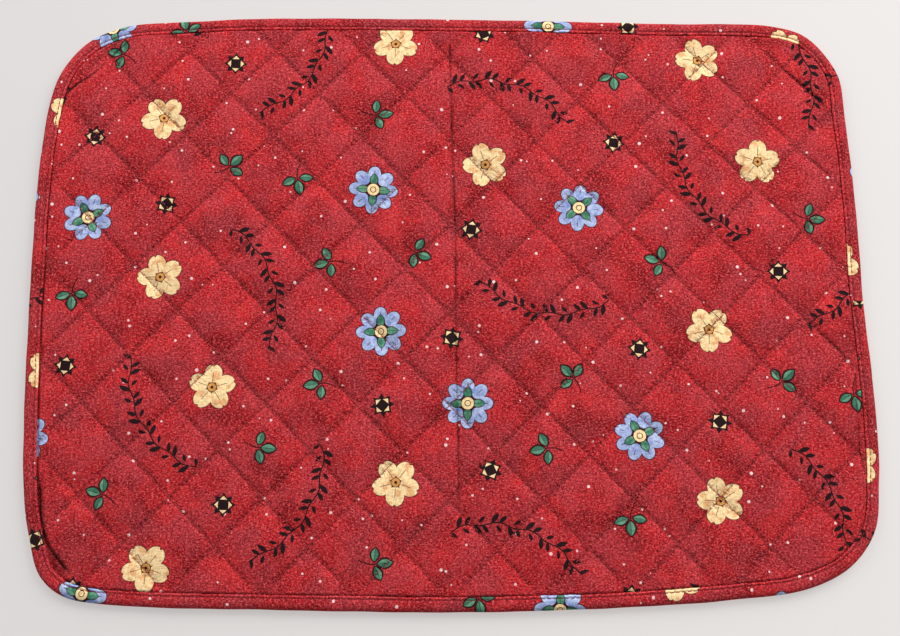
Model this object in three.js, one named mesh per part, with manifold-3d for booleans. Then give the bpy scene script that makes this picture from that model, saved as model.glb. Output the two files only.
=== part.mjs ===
// Quilted placemat: a padded cotton mat with diagonal quilting and a folded binding round its edge.
// Millimetres, lying flat with its front up. +X runs along the long side and +Y to the far side.
// The origin is on the table, under the middle of the mat.

import * as THREE from "three";
import Module from "manifold-3d";

const wasm = await Module();
wasm.setup();

// Whole mat
const MAT_LENGTH = 457;
const MAT_WIDTH = 335;
const EDGE_STEPS = 144; // stretches that the edge is drawn in
const GAP = 0.3; // between the body and the binding that holds it

// Quilted body
const SEAM_TOP = 2.7; // height along a quilting seam
const PUFF_RISE = 2.0; // swell of the batting in the middle of a diamond
const PUFF_FULLNESS = 0.62; // under 1 rounds the puffs, so that the seams lie in narrow valleys
const PUFF_UNEVEN = 0.14; // how far one puff differs from the next
const EDGE_FALL = 14; // width over which the puffs die away towards the binding
const EDGE_PUFF = 0.45; // what is left of a puff beside the binding
const TAB_BOTTOM = 1.2; // the pressed edge inside the binding
const TAB_TOP = 2.7;
const TAB_INSET = 2.3; // from the mat's edge
const TAB_SHOULDER = 0.6; // from the binding's inner edge to where the pad opens out

// Binding, a strip folded over the edge
const BINDING_HEIGHT = 4.4; // over its puffed outer band
const BINDING_GROOVE = 3.7; // height at the topstitching
const BINDING_LIP = 4.1; // height of the loose lip inside the topstitching
const LIP_WIDTH = 1.7; // from the topstitching to the lip's edge
const BINDING_SWELL = 0.05; // how far the height of the outer band varies along it
const BINDING_UNEVEN = 0.25; // how far its width wanders
const BINDING_REACH = { far: 6.1, near: 7.5, left: 6.9, right: 5.7 }; // visible width on each side

// The edge as cut, anticlockwise from the middle of the right side
const edgeTable = [
  { x: 226, y: -3 },
  { x: 226, y: 46 },
  { x: 224, y: 100 },
  { x: 221, y: 131 },
  { x: 205, y: 153 },
  { x: 185, y: 160 },
  { x: 127, y: 162 },
  { x: 1, y: 166 },
  { x: -106, y: 167.5 },
  { x: -145, y: 166 },
  { x: -184, y: 163 },
  { x: -205, y: 153 },
  { x: -220, y: 133 },
  { x: -227, y: 95 },
  { x: -229, y: -3 },
  { x: -226, y: -100 },
  { x: -221, y: -129 },
  { x: -214, y: -148 },
  { x: -201, y: -158 },
  { x: -164, y: -163 },
  { x: -106, y: -165 },
  { x: 10, y: -167.5 },
  { x: 107, y: -165 },
  { x: 150, y: -162 },
  { x: 182, y: -158 },
  { x: 206, y: -148 },
  { x: 222, y: -129 },
  { x: 227, y: -100 },
  { x: 228, y: -60 },
];

// The two families of quilting seams. Each seam is y = offset + slope * x.
// The first and last of each family lie outside the mat and only bound it.
const risingSeams = [
  { offset: -378, slope: 1.02 },
  { offset: -306, slope: 1.02 },
  { offset: -258, slope: 1.04 },
  { offset: -210, slope: 1.03 },
  { offset: -161, slope: 1.01 },
  { offset: -109, slope: 1.0 },
  { offset: -59, slope: 1.01 },
  { offset: -9, slope: 1.0 },
  { offset: 41, slope: 1.0 },
  { offset: 92, slope: 1.0 },
  { offset: 143, slope: 1.0 },
  { offset: 193, slope: 1.0 },
  { offset: 243, slope: 1.0 },
  { offset: 294, slope: 1.0 },
  { offset: 338, slope: 0.99 },
  { offset: 392, slope: 1.0 },
];
const fallingSeams = [
  { offset: -414, slope: -1.06 },
  { offset: -363, slope: -1.06 },
  { offset: -313, slope: -1.06 },
  { offset: -262, slope: -1.05 },
  { offset: -212, slope: -1.06 },
  { offset: -161, slope: -1.06 },
  { offset: -110, slope: -1.06 },
  { offset: -58, slope: -1.06 },
  { offset: -7, slope: -1.06 },
  { offset: 44, slope: -1.07 },
  { offset: 95, slope: -1.07 },
  { offset: 144, slope: -1.06 },
  { offset: 193, slope: -1.06 },
  { offset: 239, slope: -1.03 },
  { offset: 286, slope: -1.02 },
  { offset: 336, slope: -1.06 },
  { offset: 388, slope: -1.06 },
];
const SEAM_STEPS = [0, 0.17, 0.5, 0.83]; // rows of points between one seam and the next

// Sections across the edge. An inset is from the mat's edge, plus a share of the binding's width.
const bindingSection = [
  { share: 1, inset: 0, height: 0 },
  { share: 0, inset: 1.3, height: 0 },
  { share: 0, inset: 0.2, height: 0.9 },
  { share: 0, inset: 0, height: 2.2 },
  { share: 0, inset: 0.7, height: 3.5 },
  { share: 0.36, inset: 0, height: BINDING_HEIGHT, swells: true },
  { share: 1, inset: -2.6, height: BINDING_GROOVE + 0.4 },
  { share: 1, inset: -LIP_WIDTH, height: BINDING_GROOVE },
  { share: 1, inset: -LIP_WIDTH / 2, height: BINDING_LIP },
  { share: 1, inset: 0, height: BINDING_LIP - 0.4 },
  { share: 1, inset: 0, height: TAB_TOP + GAP },
  { share: 0, inset: TAB_INSET - GAP, height: TAB_TOP + GAP },
  { share: 0, inset: TAB_INSET - GAP, height: TAB_BOTTOM - GAP },
  { share: 1, inset: 0, height: TAB_BOTTOM - GAP },
];
const padSection = [
  { share: 1, inset: 4, height: -1 },
  { share: 1, inset: TAB_SHOULDER, height: TAB_BOTTOM },
  { share: 0, inset: TAB_INSET, height: TAB_BOTTOM },
  { share: 0, inset: TAB_INSET, height: TAB_TOP },
  { share: 1, inset: TAB_SHOULDER, height: TAB_TOP },
  { share: 1, inset: 2 * TAB_SHOULDER, height: 2 * BINDING_HEIGHT },
];

// Creases that run across the quilting, each a soft trough or ridge along a line
const creaseTable = [
  { name: "storage fold", fromX: 2, fromY: 160, toX: 5, toY: -85, width: 6, rise: -1.0 },
  { name: "bank beside it", fromX: -9, fromY: 150, toX: -7, toY: -70, width: 9, rise: 0.5 },
  { name: "first ripple", fromX: 131, fromY: 112, toX: 127, toY: -60, width: 7, rise: 0.6 },
  { name: "second ripple", fromX: 149, fromY: 96, toX: 144, toY: -68, width: 7, rise: 0.7 },
  { name: "third ripple", fromX: 168, fromY: 86, toX: 168, toY: -30, width: 7, rise: 0.6 },
  { name: "far left tuck", fromX: -213, fromY: 116, toX: -180, toY: 149, width: 5, rise: 0.9 },
  { name: "near left tuck", fromX: -212, fromY: -122, toX: -195, toY: -147, width: 5, rise: -1.0 },
];
const CREASE_FADE = 22; // length over which a crease dies out at each end

function smoothStep(from, to, value) {
  return THREE.MathUtils.smoothstep(value, from, to);
}

// The binding's width differs from side to side, and wanders a little along each.
function bindingReach(inward, turn) {
  const acrossX = inward.x > 0 ? BINDING_REACH.left : BINDING_REACH.right;
  const acrossY = inward.y > 0 ? BINDING_REACH.near : BINDING_REACH.far;
  const wander = BINDING_UNEVEN * (Math.sin(7 * turn + 1) + Math.sin(17 * turn)) * 0.5;
  return acrossX * inward.x ** 2 + acrossY * inward.y ** 2 + wander;
}

// Evenly spaced places round the edge, with the way inward and the binding's width at each
function edgeStations() {
  const corners = edgeTable.map((row) => new THREE.Vector3(row.x, row.y, 0));
  const curve = new THREE.CatmullRomCurve3(corners, true, "centripetal");
  const points = curve.getSpacedPoints(EDGE_STEPS).slice(0, EDGE_STEPS);
  const box = new THREE.Box3().setFromPoints(points);
  const middle = box.getCenter(new THREE.Vector3());
  const span = box.getSize(new THREE.Vector3());
  for (const point of points) {
    point.x = ((point.x - middle.x) * MAT_LENGTH) / span.x;
    point.y = ((point.y - middle.y) * MAT_WIDTH) / span.y;
  }
  return points.map((point, i) => {
    const before = points.at(i - 1);
    const after = points[(i + 1) % EDGE_STEPS];
    const along = after.clone().sub(before).normalize();
    const inward = new THREE.Vector2(-along.y, along.x);
    const turn = (2 * Math.PI * i) / EDGE_STEPS;
    return { x: point.x, y: point.y, inward, turn, reach: bindingReach(inward, turn) };
  });
}

const stations = edgeStations();

// How far a place lies inside the edge, and the binding's width at the nearest part of it
function nearestEdge(x, y) {
  const place = new THREE.Vector3(x, y, 0);
  const nearest = new THREE.Vector3();
  let found = { inset: -Infinity, reach: 0 };
  let least = Infinity;
  stations.forEach((station, i) => {
    const next = stations[(i + 1) % EDGE_STEPS];
    const start = new THREE.Vector3(station.x, station.y, 0);
    const side = new THREE.Line3(start, new THREE.Vector3(next.x, next.y, 0));
    side.closestPointToPoint(place, true, nearest);
    const distance = nearest.distanceTo(place);
    if (distance < least) {
      const inside = (x - station.x) * station.inward.x + (y - station.y) * station.inward.y;
      least = distance;
      found = { inset: Math.sign(inside) * distance, reach: station.reach };
    }
  });
  return found;
}

// Height that one crease adds at a place
function creaseRise(crease, x, y) {
  const along = new THREE.Vector2(crease.toX - crease.fromX, crease.toY - crease.fromY);
  const length = along.length();
  along.normalize();
  const offset = new THREE.Vector2(x - crease.fromX, y - crease.fromY);
  const run = offset.dot(along);
  const aside = offset.cross(along);
  const fade = smoothStep(-CREASE_FADE / 2, CREASE_FADE / 2, Math.min(run, length - run));
  return crease.rise * fade * Math.exp(-((aside / crease.width) ** 2));
}

// Height of the quilted front. The parts run from 0 to 1 between two seams of a family.
function frontHeight(x, y, rising, falling) {
  const { inset, reach } = nearestEdge(x, y);
  const swell = Math.sin(Math.PI * rising.part) * Math.sin(Math.PI * falling.part);
  const differs = 1 + PUFF_UNEVEN * Math.sin(2.3 * rising.seam + 4.1 * falling.seam);
  const open = EDGE_PUFF + (1 - EDGE_PUFF) * smoothStep(reach, reach + EDGE_FALL, inset);
  const creases = creaseTable.reduce((sum, crease) => sum + creaseRise(crease, x, y), 0);
  const height = SEAM_TOP + PUFF_RISE * differs * open * swell ** PUFF_FULLNESS + creases * open;
  const least = inset < reach + 2 ? TAB_TOP + GAP : SEAM_TOP - 1;
  return Math.max(height, least);
}

// Rows of points at and between the seams of one family
function seamRows(seams) {
  const rows = [];
  seams.slice(0, -1).forEach((line, seam) => {
    const next = seams[seam + 1];
    for (const part of SEAM_STEPS) {
      const offset = THREE.MathUtils.lerp(line.offset, next.offset, part);
      const slope = THREE.MathUtils.lerp(line.slope, next.slope, part);
      rows.push({ offset, slope, seam, part });
    }
  });
  rows.push({ ...seams.at(-1), seam: seams.length - 1, part: 0 });
  return rows;
}

// A slab larger than the mat, with the quilted relief on top and a flat bottom
function quiltedSlab() {
  const rising = seamRows(risingSeams);
  const falling = seamRows(fallingSeams);
  const vertices = [];
  const triangles = [];
  for (const rise of rising) {
    for (const fall of falling) {
      const x = (fall.offset - rise.offset) / (rise.slope - fall.slope);
      const y = rise.offset + rise.slope * x;
      vertices.push(x, y, frontHeight(x, y, rise, fall));
    }
  }
  const rows = rising.length;
  const columns = falling.length;
  const at = (row, column) => row * columns + column;
  for (let row = 0; row < rows - 1; row++) {
    for (let column = 0; column < columns - 1; column++) {
      const near = [at(row, column), at(row, column + 1)];
      const far = [at(row + 1, column), at(row + 1, column + 1)];
      triangles.push(near[0], near[1], far[1], near[0], far[1], far[0]);
    }
  }
  const rim = [];
  for (let column = 0; column < columns - 1; column++) rim.push(at(0, column));
  for (let row = 0; row < rows - 1; row++) rim.push(at(row, columns - 1));
  for (let column = columns - 1; column > 0; column--) rim.push(at(rows - 1, column));
  for (let row = rows - 1; row > 0; row--) rim.push(at(row, 0));
  const foot = vertices.length / 3;
  for (const top of rim) vertices.push(vertices[3 * top], vertices[3 * top + 1], 0);
  const middle = vertices.length / 3;
  vertices.push(0, 0, 0);
  rim.forEach((top, i) => {
    const next = (i + 1) % rim.length;
    triangles.push(top, foot + i, foot + next, top, foot + next, rim[next]);
    triangles.push(middle, foot + next, foot + i);
  });
  return { vertices, triangles };
}

// Skins the rings that a section makes as it goes round the edge
function skin(section, closed) {
  const vertices = [];
  const triangles = [];
  for (const place of section) {
    for (const station of stations) {
      const inset = place.share * station.reach + place.inset;
      const x = station.x + station.inward.x * inset;
      const y = station.y + station.inward.y * inset;
      const swell = place.swells ? BINDING_SWELL * Math.sin(11 * station.turn) : 0;
      vertices.push(x, y, place.height * (1 + swell));
    }
  }
  const bands = closed ? section.length : section.length - 1;
  for (let band = 0; band < bands; band++) {
    const below = band * EDGE_STEPS;
    const above = ((band + 1) % section.length) * EDGE_STEPS;
    for (let i = 0; i < EDGE_STEPS; i++) {
      const next = (i + 1) % EDGE_STEPS;
      triangles.push(below + i, below + next, above + next, below + i, above + next, above + i);
    }
  }
  return { vertices, triangles };
}

// The room that the pad fills: open in the middle and pressed to a thin tab inside the binding
function padRoom() {
  const room = skin(padSection, false);
  const bottom = room.vertices.length / 3;
  const top = bottom + 1;
  const lastRing = bottom - EDGE_STEPS;
  room.vertices.push(0, 0, padSection[0].height, 0, 0, padSection.at(-1).height);
  for (let i = 0; i < EDGE_STEPS; i++) {
    const next = (i + 1) % EDGE_STEPS;
    room.triangles.push(bottom, next, i, top, lastRing + i, lastRing + next);
  }
  return room;
}

function solidOf({ vertices, triangles }) {
  const vertProperties = new Float32Array(vertices);
  const triVerts = new Uint32Array(triangles);
  return new wasm.Manifold(new wasm.Mesh({ numProp: 3, vertProperties, triVerts }));
}

function geometryOf(vertices, triangles) {
  const geometry = new THREE.BufferGeometry();
  geometry.setAttribute("position", new THREE.BufferAttribute(new Float32Array(vertices), 3));
  geometry.setIndex(new THREE.BufferAttribute(new Uint32Array(triangles), 1));
  geometry.computeVertexNormals();
  return geometry;
}

// Front, batting and back, stitched together into one pad
function quiltedMat() {
  const pad = solidOf(quiltedSlab()).intersect(solidOf(padRoom())).getMesh();
  const cotton = new THREE.MeshStandardMaterial({ color: 0xb3293a, roughness: 0.95, metalness: 0 });
  const mesh = new THREE.Mesh(geometryOf(pad.vertProperties, pad.triVerts), cotton);
  mesh.name = "quilted_mat";
  return mesh;
}

// One strip folded over the raw edge and stitched down near its inner edge
function binding() {
  const strip = skin(bindingSection, true);
  const cotton = new THREE.MeshStandardMaterial({ color: 0x9c2433, roughness: 0.95, metalness: 0 });
  const mesh = new THREE.Mesh(geometryOf(strip.vertices, strip.triangles), cotton);
  mesh.name = "binding";
  return mesh;
}

const placemat = new THREE.Group();
placemat.add(quiltedMat(), binding());

export default placemat;
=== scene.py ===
import math

import bpy
import numpy as np
from mathutils import Matrix, Vector


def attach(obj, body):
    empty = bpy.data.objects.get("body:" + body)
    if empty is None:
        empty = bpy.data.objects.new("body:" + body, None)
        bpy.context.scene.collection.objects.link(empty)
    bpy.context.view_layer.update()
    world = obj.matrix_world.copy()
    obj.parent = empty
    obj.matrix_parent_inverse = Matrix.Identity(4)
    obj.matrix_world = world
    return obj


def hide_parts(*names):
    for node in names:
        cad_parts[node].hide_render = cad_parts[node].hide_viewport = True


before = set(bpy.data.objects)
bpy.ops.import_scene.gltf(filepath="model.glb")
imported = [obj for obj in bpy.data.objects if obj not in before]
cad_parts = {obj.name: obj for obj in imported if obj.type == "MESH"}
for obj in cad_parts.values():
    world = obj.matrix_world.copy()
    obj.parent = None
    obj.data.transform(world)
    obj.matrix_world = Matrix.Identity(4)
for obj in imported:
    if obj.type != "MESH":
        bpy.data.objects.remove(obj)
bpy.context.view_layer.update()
MM = 0.001  # the tables below are in millimetres, and Blender's places in metres


# Camera
# It looks down on the mat as it lies on a table, a little from the near side, and leans by half a degree.
CAMERA_ELEVATION = 76.0
CAMERA_LEAN = -0.51
CAMERA_DISTANCE = 800 * MM
CAMERA_AIM = Vector((1.1, -9.65, 0)) * MM
CAMERA_LENS = 58.65
FILM_WIDTH = 36
down = math.radians(90 - CAMERA_ELEVATION)
turned = Matrix.Rotation(down, 3, "X") @ Matrix.Rotation(math.radians(CAMERA_LEAN), 3, "Z")
bpy.ops.object.select_all(action="DESELECT")
bpy.ops.object.camera_add(
    location=CAMERA_AIM + turned @ Vector((0, 0, CAMERA_DISTANCE)),
    rotation=turned.to_euler(),
)
camera = bpy.context.object
camera.name = "camera"
camera.data.sensor_width = FILM_WIDTH
camera.data.lens = CAMERA_LENS
camera.data.clip_start = 10 * MM
bpy.context.scene.camera = camera


# Table and light
# A pale, matt table top in a bright room. Its colour is painted a little darker at the back left and paler
# to the right, as painted light falloff that stands in for the uneven light on it. Two broad lamps stand
# behind the mat, the stronger one on the right.
TABLE_SIZE = 5.0
TABLE_DEPTH = 0.1 * MM  # how far under the mat it lies, so that the two don't flicker
TABLE_DARK = (205, 204, 205)
TABLE_PALE = (251, 246, 242)
TABLE_SHADE = 0.48  # from dark, 0, to pale, 1, under the middle of the mat
TABLE_DRIFT = (0.5, -0.3, 0)  # and how fast that painted light falloff changes over the table, for each metre
LAMPS = {"right_lamp": ((1.0, 0.98, 0.8), 27.0), "left_lamp": ((-0.85, 1.05, 0.7), 15.7)}
LAMP_SIZE = 1.2
LAMP_COLOUR = (1.0, 0.985, 0.965)
ROOM_COLOUR = (0.98, 0.985, 1.0, 1)
ROOM_LIGHT = 0.3
TABLE_PAINTED_GLOW = 0.58  # the share of the table's brightness that it gives off itself as a painted glow, which keeps shadows on it faint


def display_colour(red, green, blue):
    """A colour as a screen gives it, from 0 to 255, as the light it stands for."""
    shares = [c / 255 for c in (red, green, blue)]
    return [s / 12.92 if s <= 0.04045 else ((s + 0.055) / 1.055) ** 2.4 for s in shares] + [1]


def new_material(name):
    """A new material, its node tree and its surface node."""
    material = bpy.data.materials.new(name)
    material.use_nodes = True
    return material, material.node_tree, material.node_tree.nodes["Principled BSDF"]


bpy.ops.mesh.primitive_plane_add(size=TABLE_SIZE, location=(0, 0, -TABLE_DEPTH))
table = bpy.context.object
table.name = "table"
bpy.ops.object.transform_apply(location=True)
material, tree, surface = new_material("table_top")
surface.inputs["Roughness"].default_value = 0.7
surface.inputs["Specular IOR Level"].default_value = 0.1
coordinates = tree.nodes.new("ShaderNodeTexCoord")
# Painted light falloff: the table's colour drifts with the place on it.
drift = tree.nodes.new("ShaderNodeVectorMath")
drift.operation = "DOT_PRODUCT"
drift.inputs[1].default_value = TABLE_DRIFT
shade = tree.nodes.new("ShaderNodeMath")
shade.inputs[1].default_value = TABLE_SHADE
shade.use_clamp = True
tint = tree.nodes.new("ShaderNodeMix")
tint.data_type = "RGBA"
tint.inputs["A"].default_value = display_colour(*TABLE_DARK)
tint.inputs["B"].default_value = display_colour(*TABLE_PALE)
# Painted light: the table glows with a share of its own colour and reflects the rest, so shadows on it stay
# faint.
dimmed = tree.nodes.new("ShaderNodeMix")
dimmed.data_type = "RGBA"
dimmed.inputs["Factor"].default_value = TABLE_PAINTED_GLOW
dimmed.inputs["B"].default_value = (0, 0, 0, 1)
tree.links.new(coordinates.outputs["Object"], drift.inputs[0])
tree.links.new(drift.outputs["Value"], shade.inputs[0])
tree.links.new(shade.outputs["Value"], tint.inputs["Factor"])
tree.links.new(tint.outputs["Result"], dimmed.inputs["A"])
tree.links.new(dimmed.outputs["Result"], surface.inputs["Base Color"])
tree.links.new(tint.outputs["Result"], surface.inputs["Emission Color"])
surface.inputs["Emission Strength"].default_value = TABLE_PAINTED_GLOW
table.data.materials.append(material)

for lamp_name, (stand, power) in LAMPS.items():
    bpy.ops.object.light_add(type="AREA", location=stand)
    lamp = bpy.context.object
    lamp.name = lamp_name
    lamp.data.size = LAMP_SIZE
    lamp.data.energy = power
    lamp.data.color = LAMP_COLOUR
    lamp.rotation_euler = (-Vector(stand)).to_track_quat("-Z", "Y").to_euler()

room = bpy.data.worlds.new("room")
room.use_nodes = True
room.node_tree.nodes["Background"].inputs["Color"].default_value = ROOM_COLOUR
room.node_tree.nodes["Background"].inputs["Strength"].default_value = ROOM_LIGHT
bpy.context.scene.world = room
bpy.context.scene.view_settings.view_transform = "Standard"


# Quilted mat
# Printed cotton, batting and a plain cotton back, stitched through in two families of diagonal seams.
# The batting swells between them. The edge is pressed thin where the binding holds it.
MAT_LENGTH = 457
MAT_WIDTH = 335
SEAM_TOP = 2.7  # the front's height at a seam
SEAM_SINK = 0.9  # and how far a crease may press it below that
PUFF_RISE = 2.2  # how much higher the middle of a puff is
PUFF_FULLNESS = 0.48  # under 1 for full shoulders
PUFF_UNEVEN = 0.14  # how much the puffs differ
EDGE_FALL = 14  # how far inside the binding the puffs reach their full height
EDGE_PUFF = 0.6  # and the share of it that they keep beside the binding
RUMPLE_RISE = 0.16  # the small rumples on the puffs
LIP_BANK = 0.45  # how much the batting that is caught beside the binding lifts the front there
FAR_BANK = 0.5  # and how much more it does so along the far edge
BANK_REACH = 9
TAB_BOTTOM = 1.2  # the pressed edge inside the binding
TAB_TOP = 2.7
TAB_INSET = 2.3
SLACK_SIDE = 0.45  # how loosely the front lies at the left side's binding
SLACK_CORNER = (-208, -137)  # and where it lies most loosely, at the near left corner
SLACK_REACH = 13
RINGS = [3.4, 2.4, 1.5, 0.75, 0.25, -0.8]  # rows of points along the binding's lip, as far inside it as this
BACK_RISE = 0.55  # how far the seams lift the back
BINDING_REACH = {"far": 7.4, "near": 7.7, "left": 7.4, "right": 6.9}
BINDING_UNEVEN = 0.25
PUCKER_RISE = 0.2
PUCKER_LENGTH = 8.7
PUCKER_SPREAD = 5.0
SEAM_PITCH = 35.0
ROWS_PER_SEAM = 16
GATHERED = 0.6  # how much closer together the rows of points lie beside a seam
EDGE_STEPS = 720  # the edge in places, for measuring from
RIM_STEPS = 2880  # and in finer ones, for laying points on
NEAR_EDGE = 30  # how far from the edge its nearest place still gives the inset
BATCH = 4000  # places that are worked on at a time, to spare memory

EDGE = [
    (226, -3), (226, 46), (224, 100), (221, 131), (205, 153), (185, 160), (127, 162), (1, 166),
    (-106, 167.5), (-145, 166), (-184, 163), (-205, 153), (-220, 133), (-227, 95), (-229, -3),
    (-226, -100), (-221, -129), (-214, -148), (-201, -158), (-164, -163), (-106, -165),
    (10, -167.5), (107, -165), (150, -162), (182, -158), (206, -148), (222, -129), (227, -100),
    (228, -60),
]
# Each seam is y = offset + slope * x. The first and last of a family only bound it.
RISING_SEAMS = [
    (-378, 1.02), (-306, 1.02), (-258, 1.04), (-210, 1.03), (-161, 1.01), (-109, 1.0),
    (-59, 1.01), (-9, 1.0), (41, 1.0), (92, 1.0), (143, 1.0), (193, 1.0), (243, 1.0), (294, 1.0),
    (338, 0.99), (392, 1.0),
]
FALLING_SEAMS = [
    (-414, -1.06), (-363, -1.06), (-313, -1.06), (-262, -1.05), (-212, -1.06), (-161, -1.06),
    (-110, -1.06), (-58, -1.06), (-7, -1.06), (44, -1.07), (95, -1.07), (144, -1.06),
    (193, -1.06), (239, -1.03), (286, -1.02), (336, -1.06), (388, -1.06),
]
# Soft creases that run across the quilting: from x and y, to x and y, half width, rise
CREASES = {
    "storage fold": (2, 160, 5, -85, 3.6, -1.1),
    "bank beside it": (-9, 150, -7, -70, 8, 0.5),
    "first ripple": (131, 112, 127, -60, 6, 0.6),
    "second ripple": (149, 96, 144, -68, 6, 0.7),
    "third ripple": (168, 86, 168, -30, 6, 0.6),
    "far left tuck": (-213, 116, -180, 149, 3.5, 1.0),
    "near left tuck": (-211, -120, -192, -146, 3, -0.9),
}
# Sharp ones, as lines of places with a half width and a depth. They are too fine for the mesh, so they are
# bumps in the cloth, with painted shade in its colour.
SHARP_FOLDS = [
    ([(2.2, 158), (3.1, 91), (4.5, 39), (4.1, -18), (4.9, -78), (4.8, -118)], 1.9, 0.54),
    ([(-217, 116), (-213, 124), (-207, 129), (-200, 133), (-195, 138), (-193, 142), (-194, 147)], 2.1, 0.7),
    ([(-193, 141), (-188, 146), (-184, 150), (-178, 155)], 1.9, 0.62),
    (
        [(-217, -92), (-215.5, -108), (-215, -117), (-212, -129), (-206, -137), (-201, -143), (-195, -150)],
        2.8, 0.8,
    ),
    ([(219, -36), (218, -62), (218, -85), (220, -103)], 1.6, 0.5),
    ([(186, 139), (203, 120.8), (217, 106)], 1.9, 0.6),
    ([(197, -15.8), (207, -26.4), (219, -39)], 1.7, 0.5),
]
CREASE_FADE = 22  # the length over which a crease's end dies away
FOLD_FADE = 12  # and a sharp fold's


def smooth_step(low, high, value):
    """0 below low, 1 above high, with a soft rise between them."""
    share = np.clip((value - low) / (high - low), 0, 1)
    return share * share * (3 - 2 * share)


def edge_places(steps):
    """Evenly spaced places round the mat's edge, the way inward at each, and the binding's width there. The
    edge is a smooth curve through its table of places, each part of it a cubic."""
    here = np.array(EDGE, float)
    before, after, later = (np.roll(here, shift, axis=0) for shift in (1, -1, -2))
    first, middle, last = (
        np.linalg.norm(end - start, axis=1)[:, None] ** 0.5
        for start, end in ((here, before), (after, here), (later, after))
    )
    leave = (here - before) / first - (after - before) / (first + middle) + (after - here) / middle
    arrive = (after - here) / middle - (later - here) / (middle + last) + (later - after) / last
    t = np.linspace(0, 1, 40, endpoint=False)[None, :, None]
    line = (
        (2 * t**3 - 3 * t**2 + 1) * here[:, None]
        + (t**3 - 2 * t**2 + t) * (leave * middle)[:, None]
        + (3 * t**2 - 2 * t**3) * after[:, None]
        + (t**3 - t**2) * (arrive * middle)[:, None]
    ).reshape(-1, 2)
    closed = np.vstack([line, line[:1]])
    run = np.concatenate([[0], np.cumsum(np.linalg.norm(np.diff(closed, axis=0), axis=1))])
    wanted = np.arange(steps) * run[-1] / steps
    places = np.stack([np.interp(wanted, run, closed[:, k]) for k in (0, 1)], axis=1)
    low, high = places.min(0), places.max(0)
    places = (places - (low + high) / 2) * np.array([MAT_LENGTH, MAT_WIDTH]) / (high - low)
    along = np.roll(places, -1, axis=0) - np.roll(places, 1, axis=0)
    along /= np.linalg.norm(along, axis=1)[:, None]
    inward = np.stack([-along[:, 1], along[:, 0]], axis=1)
    turn = 2 * np.pi * np.arange(steps) / steps
    side = np.where(inward[:, 0] > 0, BINDING_REACH["left"], BINDING_REACH["right"])
    end = np.where(inward[:, 1] > 0, BINDING_REACH["near"], BINDING_REACH["far"])
    wander = BINDING_UNEVEN * (np.sin(7 * turn + 1) + np.sin(17 * turn)) * 0.5
    reach = side * inward[:, 0] ** 2 + end * inward[:, 1] ** 2 + wander
    return places, inward, reach


def nearest_edge(x, y, edge=edge_places(EDGE_STEPS)):
    """How far places lie inside the edge, and the binding's width where the edge is nearest to them."""
    places, inward, reach = edge
    insets, nearest = [], []
    for part in np.array_split(np.stack([x, y], axis=1), max(1, len(x) // BATCH)):
        apart = ((part[:, None] - places[None]) ** 2).sum(2)
        close = apart.argmin(1)
        inset = ((part - places[close]) * inward[close]).sum(1)
        far = apart[np.arange(len(part)), close] > NEAR_EDGE**2
        insets.append(np.where(far, np.sign(inset) * apart.min(1) ** 0.5, inset))
        nearest.append(close)
    return np.concatenate(insets), reach[np.concatenate(nearest)]


def between_seams(x, y, seams):
    """Which two seams of a family each place lies between, and how far from the first to the second."""
    offsets, slopes = np.array(seams).T
    past = y[:, None] - offsets - slopes * x[:, None]
    seam = np.clip((past >= 0).sum(1) - 1, 0, len(seams) - 2)
    row = np.arange(len(x))
    first, second = past[row, seam], past[row, seam + 1]
    return seam, np.clip(first / (first - second), 0, 1)


def crease_rise(x, y, from_x, from_y, to_x, to_y, width, rise):
    """How much one soft crease lifts places. It wanders a little, and dies away at both ends."""
    along = np.array([to_x - from_x, to_y - from_y], float)
    length = np.linalg.norm(along)
    along /= length
    run = (x - from_x) * along[0] + (y - from_y) * along[1]
    aside = (x - from_x) * along[1] - (y - from_y) * along[0]
    aside = aside + 1.2 * np.sin(run / 19)
    fade = smooth_step(-CREASE_FADE / 2, CREASE_FADE / 2, np.minimum(run, length - run))
    return rise * fade * np.exp(-((aside / width) ** 2))


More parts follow.
